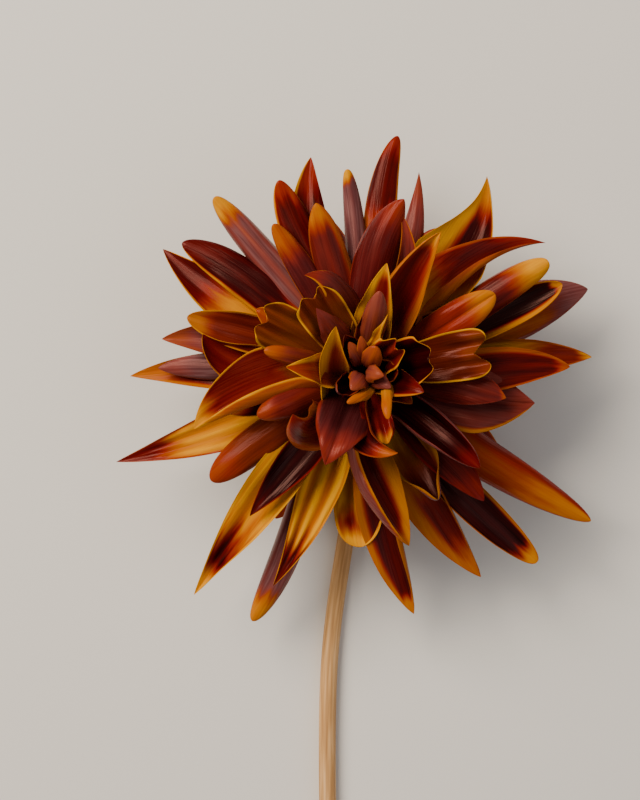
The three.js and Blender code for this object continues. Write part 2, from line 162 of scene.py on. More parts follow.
def livePetalSkin():
    # fresh ray floret: thin wax over long cells, so a satin skin whose small highlights are
    # a little pink, with fine veins along it; the pigment runs from gold at root and margin
    # through orange and red to maroon, and the reverse is plum with pale streaks of painted sheen
    values = petalSkin
    material, tree = newMaterial("livePetalSkin")

    def channels(name):
        layer = addNode(tree, "ShaderNodeAttribute", attribute_name=name)
        parts = addNode(tree, "ShaderNodeSeparateColor", {"Color": layer.outputs["Color"]})
        return [*(parts.outputs[i] for i in range(3)), layer.outputs["Alpha"]]

    baseShare, body, tip, rim = channels("paint")
    rimWidth, rimSide, tipShare, back = channels("paintReach")
    place = addNode(tree, "ShaderNodeAttribute", attribute_name="petalPlace")
    spot = addNode(tree, "ShaderNodeSeparateXYZ", {"Vector": place.outputs["Vector"]})
    across, along, seed = (spot.outputs[i] for i in range(3))
    under = addNode(tree, "ShaderNodeAttribute", attribute_name="underside").outputs["Fac"]
    ribbing = addNode(tree, "ShaderNodeAttribute", attribute_name="ribbing").outputs["Fac"]
    paintedShade = addNode(tree, "ShaderNodeAttribute", attribute_name="paintedShade").outputs["Fac"]
    flat = addNode(tree, "ShaderNodeUVMap", uv_map="petalMap")
    depth = calculate(tree, "MULTIPLY", seed, values["seedShift"])
    shifted = addNode(tree, "ShaderNodeCombineXYZ", {0: 0.0, 1: 0.0, 2: depth})

    def streaks(spacing, detail):
        scaled = addNode(tree, "ShaderNodeVectorMath", {
            0: flat.outputs[0], 1: (1 / spacing, 1 / values["veinRun"], 1.0), 2: shifted.outputs[0],
        }, operation="MULTIPLY_ADD")
        return noise(tree, scaled.outputs[0], detail)

    def fade(value, start, end):
        return addNode(tree, "ShaderNodeMapRange", {"Value": value, "From Min": start, "From Max": end},
                       interpolation_type="SMOOTHSTEP").outputs[0]

    def blend(factor, a, b):
        return addNode(tree, "ShaderNodeMix", {"Factor": factor, 2: a, 3: b}).outputs[0]

    fine = streaks(values["veinSpacing"], 2.0)
    broad = streaks(values["streakSpacing"], 3.0)
    wander = calculate(tree, "MULTIPLY_ADD", broad, values["wander"], -values["wander"] / 2)
    alongWander = calculate(tree, "ADD", along, wander)
    edge = calculate(tree, "MULTIPLY_ADD", wander, values["rimWander"], calculate(tree, "ABSOLUTE", across))
    baseEdge = (calculate(tree, "ADD", baseShare, step) for step in values["baseEdge"])
    pastBase = fade(alongWander, *baseEdge)
    tipEdge = (calculate(tree, "MULTIPLY_ADD", tipShare, step, 1.0) for step in values["tipEdge"])
    toTip = fade(calculate(tree, "MULTIPLY_ADD", wander, values["tipWander"], along), *tipEdge)
    # the margin's colour may be wider on one side: its width is there 1 + side * across
    band = calculate(tree, "MULTIPLY", rimWidth, calculate(tree, "MULTIPLY_ADD", rimSide, across, 1.0))
    rimEdge = (calculate(tree, "MULTIPLY_ADD", band, step, 1.0) for step in values["rimEdge"])
    toRim = calculate(tree, "MULTIPLY", fade(along, *values["rimRoot"]), fade(edge, *rimEdge))
    # the rib crests get a painted highlight and the troughs painted shade, as cos(3 pi across)
    crest = calculate(tree, "COSINE", calculate(tree, "MULTIPLY", across, values["ribs"] * np.pi))
    ribLight = calculate(tree, "MULTIPLY", calculate(tree, "MULTIPLY", crest, ribbing), values["ribHighlight"])
    grain = calculate(tree, "ADD", *(
        calculate(tree, "MULTIPLY_ADD", pattern, share, -share / 2)
        for pattern, share in zip((fine, broad), values["grain"])))

    def warmth(middle):
        lit = calculate(tree, "ADD", middle, ribLight)
        return calculate(tree, "ADD", blend(toRim, blend(toTip, lit, tip), rim), grain)

    golden = calculate(tree, "MULTIPLY_ADD", baseShare, values["golden"][1], values["golden"][0])
    faceWarmth, backWarmth = warmth(blend(pastBase, golden, body)), warmth(back)
    # the face of the florets near the middle is mixed towards a darker, duller ramp as painted shade
    face = addNode(tree, "ShaderNodeMix", {
        "Factor": paintedShade, 6: colourRamp(tree, faceWarmth, values["face"]),
        7: colourRamp(tree, faceWarmth, values["shadedFace"]),
    }, data_type="RGBA").outputs[2]
    # the painted sheen is strongest in streaks and on the coolest, plum skin, and thin where only
    # part of the reverse's colour shows
    inStreaks = fade(calculate(tree, "ADD", fine, broad), *values["paintedSheenStreaks"])
    between = values["paintedSheenBetween"]
    streaky = calculate(tree, "MULTIPLY_ADD", inStreaks, 1 - between, between)
    cool = calculate(tree, "MULTIPLY", fade(backWarmth, *values["paintedSheenFade"]),
                     calculate(tree, "MULTIPLY", under, under))
    paintedSheen = calculate(tree, "MULTIPLY", calculate(tree, "MULTIPLY", streaky, cool),
                       values["paintedSheenStrength"])
    reverse = addNode(tree, "ShaderNodeMix", {
        "Factor": paintedSheen, 6: colourRamp(tree, backWarmth, values["reverse"]), 7: linear(values["bloom"]),
    }, data_type="RGBA").outputs[2]
    mixed = addNode(tree, "ShaderNodeMix", {"Factor": under, 6: face, 7: reverse}, data_type="RGBA")
    shine = addNode(tree, "ShaderNodeMapRange", {
        "Value": blend(under, faceWarmth, backWarmth),
        "From Min": values["shineFade"][0], "From Max": values["shineFade"][1],
        "To Min": values["shine"][0], "To Max": values["shine"][1],
    }).outputs[0]
    roughness = addNode(tree, "ShaderNodeMapRange", {
        "Value": fine, "To Min": values["roughness"][0], "To Max": values["roughness"][1],
    }).outputs[0]
    relief = calculate(tree, "MULTIPLY_ADD", broad, values["streakRelief"], fine)
    bump = addNode(tree, "ShaderNodeBump", {
        "Height": relief, "Strength": values["bump"], "Distance": values["veinDepth"],
    })
    finishMaterial(tree, {
        "Base Color": mixed.outputs[2], "Roughness": roughness, "IOR": plantIor,
        "Normal": bump.outputs[0], "Specular IOR Level": shine,
        "Specular Tint": linear(values["shineTint"]),
    })
    return material


# The florets are the same blades as in the frame's solids, with a finer skin. Those that
# show have one row each. First the shape: azimuth, reach and height of the
# tip; full width; rise of the midline at the root and at the tip; swing from the root's
# azimuth to the tip's; turn of the tip's heading; roll; cup of the middle and of the tip;
# point (below 0 is blunt); ruffle; crease; lean; where it is widest; notch. Lengths in mm.
# Then the paint: share of the length that is golden from the root; warmth, from 0, almost
# black, to 1, yellow, of the body, the tip and the margin; width of the margin's colour;
# its side; share of the length that has the tip's colour; warmth of the reverse; how far
# the face looks like the reverse; height of the ribs in mm; and how far the face is painted darker and
# duller as shade.
florets = {
    "outer": [
        ((81.8, 66.2, 27, 10, 28, -8, 4, -14, 0, -30, -30, 0.05, 0, 0, 0, 0.36, 0),
         (0.6, 0.2, 0.4, 0.9, 0.12, -0.5, 0.1, 0.35, 0, 0.03, 0)),
        ((74.7, 57.4, 29, 10.8, 34, 12, 6, 16, 0, -44, -19, 1.1, 0, 0, 0, 0.4, 0),
         (0.1, 0.22, 0.45, 0.5, 0.12, 0, 0.2, 0.34, 0.8, 0.09, 0)),
        ((62.1, 44.8, 29, 12.7, 20, 0, 0, 0, 0, -38, -19, 0.1, 0, 0, 0, 0.5, 0),
         (0.1, 0.4, 0.5, 0.5, 0.12, 0, 0.2, 0.45, 0.8, 0.09, 0)),
        ((58, 63.6, 32, 26, 20, 30, 10, 34, -8, 65, 90, 1.25, 0, 0, -35, 0.5, 0),
         (0.5, 0.1, 0.8, 1, 0.5, 0.8, 0.2, 1, 0, 0.09, 0)),
        ((35.5, 61, 34, 19, 35, -8, -14, -40, -6, 95, 70, 1.3, 0, 0, -85, 0.4, 0),
         (0.46, 0.2, 0.4, 0.55, 0.12, 0, 0.2, 0.64, 0, 0.06, 0)),
        ((30.9, 57.9, 42, 12, 30, 0, 4, -4, 0, -76, -80, -0.3, 0, 0, 0, 0.6, 0),
         (0.1, 0.2, 0.95, 0.6, 0.12, 0, 0.2, 0.3, 0.3, 0.09, 0)),
        ((20.5, 66.3, 26, 17, 14, -6, 0, -10, 14, -32, -19, 0.6, 0, 0, 0, 0.6, 0),
         (0.1, 0.3, 0.3, 0.4, 0.12, 0, 0.2, 0.62, 1, 0.09, 0)),
        ((3.9, 63, 29, 14.5, 12, -6, 6, -8, 6, 32, 34, 0.8, 0, 7, 0, 0.45, 0),
         (0.72, 0.3, 0.9, 0.6, 0.12, 0, 0.06, 0.35, 0, 0.09, 0.3)),
        ((-33.1, 75.6, 23, 13, 10, -12, 5, 4, 0, -30, -25, 0.25, 0, -9, 0, 0.3, 0),
         (0.3, 0.5, 0.72, 0.38, 0.3, 0.8, 0.3, 0.35, 0, 0.02, 0)),
        ((-47.5, 71.4, 24, 11.3, 10, -12, 8, 6, 0, 44, 55, 0, 0, 0, 0, 0.5, 0),
         (0.1, 0.08, 0.85, 0.74, 0.14, 0.7, 0.1, 0.35, 0, 0.09, 0)),
        ((-60.1, 65.7, 22, 16, 8, -14, 4, 6, 0, 60, 60, 0.8, 0, 0, 60, 0.5, 0),
         (0.5, 0.24, 0.72, 0.68, 0.4, -0.8, 0.2, 0.45, 0.1, 0.09, 0)),
        ((-78.2, 68.7, 22, 16, 8, -14, 6, 8, 0, 90, 60, 0.75, 0, 0, 60, 0.5, 0),
         (0.25, 0.18, 0.7, 0.72, 0.34, 0, 0.08, 0.34, 0, 0.09, 0)),
        ((-113.1, 64.1, 28, 13.8, 10, -8, 0, -10, 0, 51, 70, 0.95, 0, 0, 0, 0.38, 0),
         (0.8, 0.12, 0.2, 0.88, 0.07, 0, 0.2, 0.35, 0, 0.7, 0)),
        ((-114.2, 76, 21, 10.5, 5, -14, 6, -8, 0, -62, -60, -0.1, 0, 0, 0, 0.5, 0),
         (0.1, 0.3, 0.8, 0.5, 0.12, 0, 0.12, 0.3, 1, 0.2, 0)),
        ((-127.4, 77.6, 25, 16.5, 12, -12, 2, 2, 0, 16, 50, 0.85, 0, 28, 16, 0.42, 0),
         (0.73, 0.14, 0.95, 1, 0.12, 0, 0.14, 0.3, 0, 0.35, 0)),
        ((-160.2, 73.1, 25, 13.9, 8, -10, -3, -6, 0, 25, 40, 1, 0, 9, 0, 0.42, 0),
         (0.8, 0.2, 0.25, 0.55, 0.1, 0, 0.2, 0.35, 0, 0.3, 0)),
        ((-179.2, 65, 24, 11.5, 8, -10, 0, 8, 0, 35, 34, 0.9, 0, 0, 0, 0.5, 0),
         (0.1, 0.16, 0.68, 0.72, 0.22, 0, 0.3, 0.2, 0.3, 0.09, 0)),
        ((178.7, 56.8, 30, 10.5, 16, -8, 2, 4, 0, -62, -25, 0.6, 0, 0, 0, 0.5, 0),
         (0.1, 0.3, 0.4, 0.4, 0.12, 0, 0.2, 0.16, 1, 0.09, 0)),
        ((170.6, 56.4, 31, 12.5, 20, 0, 6, 14, 0, 25, 34, 0.75, 0, 10, 0, 0.5, 0),
         (0.1, 0.26, 0.5, 0.52, 0.26, 0, 0.2, 0.3, 1, 0.09, 0)),
        ((148.4, 65.3, 27, 14.5, 12, -8, -6, -14, 0, 35, 40, 0.85, 0, 0, 0, 0.5, 0),
         (0.69, 0.2, 0.2, 0.92, 0.08, 0, 0.2, 0.35, 0, 0.09, 0)),
        ((144.6, 61.4, 32, 11.3, 24, -6, 0, 14, -6, -25, -31, 0.15, 0, 0, 0, 0.55, 0),
         (0.36, 0.14, 0.22, 0.92, 0.09, 1, 0.2, 0.35, 0, 0.09, 0)),
        ((130.6, 63.3, 33, 10.4, 26, 0, 0, 0, 0, -66, -64, -0.1, 0, 0, 0, 0.5, 0),
         (0.1, 0.3, 0.92, 0.5, 0.12, 0, 0.12, 0.34, 1, 0.3, 0)),
        ((114, 57.4, 36, 11.6, 32, 8, 4, -8, 0, -44, -25, 0.2, 0, 0, 0, 0.5, 0),
         (0.1, 0.2, 0.46, 0.88, 0.1, 0.8, 0.12, 0.35, 0, 0.09, 0)),
        ((103.9, 61, 31, 13.1, 26, 6, -14, -24, 0, 35, 34, 0.75, 0, 12, 0, 0.55, 0),
         (0.52, 0.18, 0.4, 0.96, 0.12, 1, 0.2, 0.35, 0, 0.09, 0)),
        ((94.9, 55.7, 35, 8, 32, 6, 0, 6, 0, -72, -72, -0.3, 0, 0, 0, 0.3, 0),
         (0.5, 0.3, 0.95, 0.4, 0.12, 0, 0.08, 0.26, 1, 0.09, 0)),
    ],
    "second": [
        ((24.1, 58.9, 37, 13.4, 26, 16, 0, 4, 0, 74, 66, 0.1, 0, 0, 0, 0.5, 0),
         (0.1, 0.02, 0.8, 0.84, 0.3, -0.6, 0.05, 0.6, 0, 0.09, 0)),
        ((1.5, 55.9, 37, 12.9, 16, -4, 8, -8, 0, 28, 34, 0.6, 0, 0, 0, 0.48, 0),
         (0.1, 0.2, 0.56, 0.62, 0.2, 0.5, 0.07, 0.35, 0, 0.09, 0)),
        ((-10.2, 47.1, 37, 21, 20, 6, 2, 14, 4, -72, -50, 0.95, 0, 48, 0, 0.6, 0),
         (0.2, 0.1, 0.4, 0.8, 0.07, -0.8, 0.2, 0.38, 0.75, 0.09, 0)),
        ((-47.2, 47.8, 37, 11.5, 18, -6, 2, -6, 0, 35, 40, 0.6, 0, 0, 0, 0.5, 0),
         (0.1, 0.15, 0.3, 0.3, 0.12, 0, 0.2, 0.35, 0.2, 0.09, 0)),
        ((-60.2, 39.9, 40, 15.4, 24, 34, 0, 0, 0, 60, 140, -0.3, 0, 0, 0, 0.6, 0),
         (0.5, 0.5, 0.14, 0.8, 0.2, 0, 0.3, 0.68, 0, 0.09, 0.5)),
        ((-75.7, 48.7, 38.5, 21, 30, -16, 30, 20, 0, 120, 110, 0.95, 0, 0, -50, 0.55, 0),
         (0.15, 0.2, 0.7, 0.78, 0.42, 0.9, 0.14, 0.36, 0.05, 0.09, 0)),
        ((-90.7, 48.1, 29, 14.8, 8, 30, 0, 12, 0, 38, 43, -1.2, 0, 0, 0, 0.55, 0),
         (0.82, 0.12, 0.96, 0.92, 0.13, 0, 0.14, 0.8, 0, 0.5, 0)),
        ((-128.6, 50.1, 37, 11.7, 20, -10, -4, 2, 0, 54, 64, 0.9, 0, 0, 0, 0.5, 0),
         (0.1, 0.04, 0.2, 0.35, 0.12, 0, 0.2, 0.35, 0, 0.09, 0)),
        ((-144.7, 51.4, 34, 11.4, 18, -16, 2, 8, 0, -48, -43, -0.1, 0, 0, 0, 0.5, 0),
         (0.1, 0.3, 0.5, 0.5, 0.12, 0, 0.2, 0.6, 0.3, 0.09, 0)),
        ((-164.9, 40.4, 39, 12.5, 18, 0, 4, 0, 0, 70, 60, 0.5, 0, 0, 0, 0.5, 0),
         (0.1, 0.07, 0.6, 0.93, 0.07, 0, 0.2, 0.2, 0, 0.09, 0)),
        ((166.8, 45, 41, 15.4, 16, 34, -15, -50, 0, 62, 70, 0.6, 0, 0, 0, 0.5, 0),
         (0.45, 0.3, 0.28, 0.8, 0.08, 0, 0.2, 0.35, 0, 0.09, 0)),
        ((162.7, 50.7, 36, 11.7, 24, -6, 6, 0, 0, 41, 49, 0.2, 0, 0, 0, 0.5, 0),
         (0.3, 0.3, 0.66, 0.8, 0.1, 0, 0.14, 0.35, 0, 0.09, 0.35)),
        ((121.8, 47.1, 41, 9.3, 34, 4, 0, 2, 0, -62, -70, 0, 0, 0, 0, 0.5, 0),
         (0.05, 0.2, 0.62, 0.7, 0.12, 0, 0.24, 0.22, 0.5, 0.09, 0)),
        ((106.2, 47.5, 42, 12.4, 38, 8, 0, -2, 0, -62, -28, 0.4, 0, 0, 0, 0.5, 0),
         (0.05, 0.2, 0.74, 0.62, 0.3, -0.7, 0.16, 0.35, 0.4, 0.09, 0)),
    ],
    "third": [
        ((124.5, 14.1, 65, 16, 12, 56, -98, -41, 0, 60, 60, 1, 0, 0, -28, 0.32, 0),
         (0.3, 0.34, 0.84, 0.94, 0.75, 0.9, 0.16, 0.84, 0, 0.09, 0)),
        ((31, 40.3, 49, 11.5, 34, 2, 4, 2, 0, -100, -90, 0, 0, 42, 0, 0.5, 0),
         (0.1, 0.4, 0.76, 0.6, 0.06, 0, 0.22, 0.48, 0.1, 0.03, 0)),
        ((-10.6, 38.3, 47, 12.9, 30, -10, -8, -10, 0, -28, 19, 0.7, 0, -8, 0, 0.5, 0),
         (0.05, 0.22, 0.6, 0.4, 0.12, 0, 0.05, 0.34, 0.5, 0.09, 0)),
        ((-40, 40.1, 47, 18.5, 30, -12, 2, -4, 0, 118, 100, 0.75, 0, 0, 0, 0.5, 0),
         (0.1, 0.12, 0.3, 0.35, 0.12, 0, 0.2, 0.3, 0, 0.09, 0)),
        ((-161.5, 48.5, 45, 23, 34, -14, 16, 24, 6, 112, 96, 0.95, 0, 0, 74, 0.5, 0),
         (0.35, 0.34, 0.94, 0.93, 0.055, 0, 0.16, 0.6, 0, 0.09, 0)),
        ((77.4, 47.2, 49, 17.6, 46, 10, -8, -26, 0, -62, -49, 0.55, 0, -8, 0, 0.45, 0),
         (0.12, 0.2, 0.42, 0.45, 0.12, 0, 0.2, 0.26, 0.35, 0.02, 0)),
        ((77.4, 43.6, 47, 7.8, 40, 12, 16, 34, 0, 54, 64, 0.95, 0, 0, 0, 0.5, 0),
         (0.1, 0.24, 0.4, 0.66, 0.12, 0, 0.2, 0.35, 0.7, 0.09, 0)),
        ((61.7, 42.1, 52, 21, 44, 14, -4, -12, 6, 105, 100, 0.9, 0, 0, 20, 0.45, 0),
         (0.2, 0.28, 0.92, 0.72, 0.5, 0, 0.12, 0.68, 0, 0.09, 0)),
    ],
    "fourth": [
        ((9.6, 34.3, 51, 13.8, 34, 10, 0, 0, 0, 25, 0, -1.4, 1.1, 0, 0, 0.72, 5),
         (0, 0.3, 0.46, 0.93, 0.07, 0, 0.2, 0.6, 0, 0.04, 0.55)),
        ((153.3, 32.3, 51, 13.6, 36, 16, 0, 0, 0, 35, 0, -1.3, 2.2, 0, 0, 0.7, 2.5),
         (0, 0.5, 0.46, 0.92, 0.07, 0, 0.2, 0.4, 0, 0.06, 0.6)),
        ((168.1, 27.6, 53, 6.2, 36, -10, 0, 0, 0, -62, -60, -0.2, 0, 0, 0, 0.5, 0),
         (0.05, 0.5, 0.6, 0.5, 0.12, 0, 0.2, 0.46, 0.8, 0.09, 0)),
        ((-157.8, 31.2, 51, 10.3, 36, -20, 4, 0, 0, -62, -70, -0.1, 0, 0, 0, 0.5, 0),
         (0.05, 0.3, 0.5, 0.4, 0.12, 0, 0.2, 0.42, 0.5, 0.09, 0)),
        ((122.8, 30.2, 56, 9.5, 60, 4, 22, 62, 0, -38, 34, 1, 0, 0, 0, 0.5, 0),
         (0.05, 0.1, 0.4, 0.82, 0.14, 1, 0.2, 0.35, 0.5, 0.09, 0)),
        ((126.1, 25.6, 56, 13.1, 52, 20, 0, 0, 0, 35, 0, -1.3, 1.9, 0, 0, 0.7, 1.5),
         (0, 0.48, 0.4, 0.92, 0.08, 0, 0.2, 0.4, 0, 0.06, 0.6)),
        ((79.2, 28.9, 59, 12.5, 62, 34, 0, 0, 0, 50, 60, 0.8, 0, 0, -24, 0.4, 0),
         (0.3, 0.32, 0.9, 1, 0.5, 0.4, 0.12, 0.8, 0, 0.09, 0)),
        ((-113.8, 26.9, 60, 16.5, 56, -24, 2, 0, 0, -50, -40, 0.9, 0, 34, 12, 0.45, 0),
         (0.05, 0.1, 0.4, 0.4, 0.12, 0, 0.34, 0.2, 0.5, 0, 0)),
        ((-149.7, 22.2, 63, 15, 4, 30, -30, -110, 0, -30, -40, 0.95, 0, 0, 0, 0.45, 0),
         (0.1, 0.26, 0.34, 0.56, 0.24, 0, 0.2, 0.34, 0, 0.09, 0)),
    ],
    "inner": [
        ((80.5, 21.2, 62, 9, 62, 14, 0, 0, 0, -70, -70, 0.25, 0, 0, 0, 0.5, 0),
         (0.05, 0.3, 0.44, 0.4, 0.12, 0, 0.2, 0.46, 1, 0.09, 0)),
        ((69.6, 15.8, 65, 3.6, 74, 40, -10, 0, 60, 60, 60, 1, 0, 0, 0, 0.5, 0),
         (0.05, 0.8, 0.9, 1, 0.3, 0, 0.2, 0.8, 0, 0.09, 0)),
        ((128.6, 21.2, 60, 8.8, 60, 24, 0, 0, 0, -28, -16, 0.9, 0, -12, 0, 0.5, 0),
         (0.05, 0.25, 0.4, 0.4, 0.12, 0, 0.2, 0.42, 0.8, 0.09, 0)),
        ((177.1, 21.1, 61, 10.3, 44, 6, 0, 0, 0, 30, 40, 0.85, 0, 0, 0, 0.5, 0),
         (0.1, 0.5, 0.5, 0.95, 0.34, -0.7, 0.2, 0.5, 0, 0.09, 0)),
        ((12.3, 17.3, 61, 14.7, 56, 44, 0, 0, 0, 62, 34, -1.1, 1.2, 0, 0, 0.7, 0),
         (0.02, 0.1, 0.1, 0.86, 0.08, 0, 0.2, 0.55, 0, 0.09, 0)),
        ((39.8, 11, 62, 10.2, 72, 56, 0, 0, 0, 62, 34, -0.8, 1.2, 0, 0, 0.7, 1),
         (0.02, 0.24, 0.4, 0.92, 0.12, 0, 0.2, 0.55, 0, 0.09, 0)),
        ((-20, 16, 62, 10.6, 64, 20, 0, 0, 0, 54, 34, 0.7, 0, 0, 0, 0.5, 0),
         (0.02, 0.12, 0.3, 0.76, 0.14, -1, 0.2, 0.4, 0, 0.09, 0)),
        ((-68.9, 22.9, 61, 11, 50, 6, 42, 68, 0, 62, 70, 0.9, 0, 0, 28, 0.5, 0),
         (0.02, 0.14, 0.62, 0.55, 0.12, 0, 0.2, 0.35, 0, 0.09, 0)),
        ((-76.9, 19.7, 56, 8.4, 62, 20, 0, 0, 0, 38, 0, -0.8, 1.2, 0, 0, 0.7, 0),
         (0.02, 0.3, 0.86, 0.3, 0.12, 0, 0.13, 0.6, 0, 0.03, 0)),
        ((-66.1, 13.7, 64, 4, 66, 4, -40, -16, 0, -60, -40, -0.4, 0, 0, 0, 0.3, 0),
         (0.7, 0.68, 0.68, 0.76, 0.12, 0, 0.2, 0.7, 0, 0.09, 0)),
    ],
    "heart": [
        ((120.8, 8.9, 60, 4.6, 80, 16, 0, 0, 0, -40, -40, 0.2, 0, 0, 0, 0.5, 0),
         (0, 0.1, 0.5, 0.6, 0.12, 0, 0.2, 0.42, 1, 0.09, 0)),
        ((98.9, 9.3, 61, 4.2, 80, 16, 0, 0, 0, -40, -40, 0.2, 0, 0, 0, 0.5, 0),
         (0, 0.1, 0.5, 0.8, 0.12, 0, 0.2, 0.48, 0.9, 0.09, 0)),
        ((69.2, 7, 61, 6.6, 84, 10, 0, 0, 0, -44, -40, -0.2, 0, 0, 0, 0.5, 0),
         (0, 0.1, 0.54, 0.66, 0.12, 0, 0.2, 0.5, 1, 0.09, 0)),
        ((-129.3, 6.4, 61, 6.6, 84, 10, 0, 0, 0, -44, -40, 0.2, 0, 0, 0, 0.5, 0),
         (0, 0.1, 0.5, 0.6, 0.12, 0, 0.2, 0.44, 1, 0.09, 0)),
        ((-15.9, 4.7, 62, 6, 84, 8, 0, 0, 0, -44, -40, 0.3, 0, 0, 0, 0.5, 0),
         (0, 0.1, 0.5, 0.6, 0.12, 0, 0.2, 0.46, 1, 0.09, 0)),
        ((-34.3, 7.8, 59, 5.4, 80, 6, 0, 0, 0, -40, -40, 0.3, 0, 0, 0, 0.5, 0),
         (0, 0.1, 0.4, 0.5, 0.12, 0, 0.2, 0.42, 1, 0.09, 0)),
        ((-121.4, 9.8, 61, 3.4, 66, 0, -60, -32, 0, -60, -60, -0.4, 0, 0, 0, 0.5, 0),
         (0.66, 0.68, 0.66, 0.74, 0.12, 0, 0.2, 0.7, 0, 0.09, 0)),
        ((-143.7, 9.2, 58, 7, 72, 100, 0, 0, 0, 50, 60, 0.6, 0, 0, 0, 0.5, 0),
         (0, 0.08, 0.3, 0.5, 0.12, 0, 0.2, 0.3, 0, 0.09, 0)),
        ((-1.6, 8.3, 60, 7.5, 68, 90, 0, 0, 0, 44, 40, 0.5, 0, 0, 0, 0.5, 0),
         (0, 0.04, 0.3, 0.6, 0.12, 0, 0.2, 0.3, 0, 0.09, 0)),
        ((120.8, 11, 61, 7, 70, 80, 0, 0, 0, 44, 60, 0.7, 0, 0, 0, 0.5, 0),
         (0, 0.06, 0.3, 0.5, 0.12, 0, 0.2, 0.35, 0, 0.09, 0)),
    ],
}

whorlRoots = {  # radius and height, mm, of the ring that each whorl grows from
    "back": (8.6, 29), "outer": (8.6, 30.5), "second": (7.8, 33), "third": (6.6, 35.5),
    "fourth": (5, 37.5), "inner": (3.2, 39), "heart": (1.2, 40),
}

bladeShape = {
    "claw": 0.3,            # width at the root, as a share of the full width
    "clawCup": 55,          # degrees that each half of the claw is folded up
    "opening": (0.02, 0.35),  # shares of the length between which the claw opens to the cup
    "beakFrom": 0.6,        # share of the length where the cup starts to change to the beak
    "endFrom": 0.45,        # share of the length where the ruffle and the notch start
    "reliefEnd": (0.7, 0.98),  # shares of the length between which ribs and waves die out
    "shoulders": (2.6, 1.2),  # power of the way to the tip in the outline, and what a point takes off
    "ending": (0.5, 0.42),  # power that closes the outline, and what a point adds
    "bluntest": 0.42,       # least value of that power
    "thickness": 0.5,       # mm at the middle; the margins are rounded and thin
    "section": 0.7,         # power of the thickness's sine: below 1 the margins are fuller
    "thinUnder": 1.5,       # mm of half width below which the blade is thinner
    "ribs": 3,              # half waves of the ribs from the middle to the margin
    "ribUnder": 3,          # mm of half width below which the ribs are lower
    "marginWave": 0.6,      # mm that the margins wander
    "marginWaves": (2.2, 1.5),  # waves along a margin: the fewest, and what the seed adds at most
    "marginShift": 1.1,     # radians that each margin's wave is shifted, the two in opposite ways
    "marginLip": 0.7,       # mm that the margins of a cupped blade turn up, and of an arched one down
    "lipPower": 7,          # how near the margin the lip starts
    "lipUnder": 4,          # mm of half width below which the lip is lower
    "lying": 0.02,          # mm that a pressed end stays above the surface
    "pull": 0.36,           # how strongly the two end directions bend the midline, as a share of the span
    "crowding": 1.5,        # above 1, the stations stand closer together towards the tip
    "ruffleWaves": 2.6,     # half waves of a ruffled end, for each half of its width
    "ruffleShift": 0.6,     # radians
    "notchWidth": 0.38,     # as a share of half the width
    "stations": 60,
    "ring": 48,
}


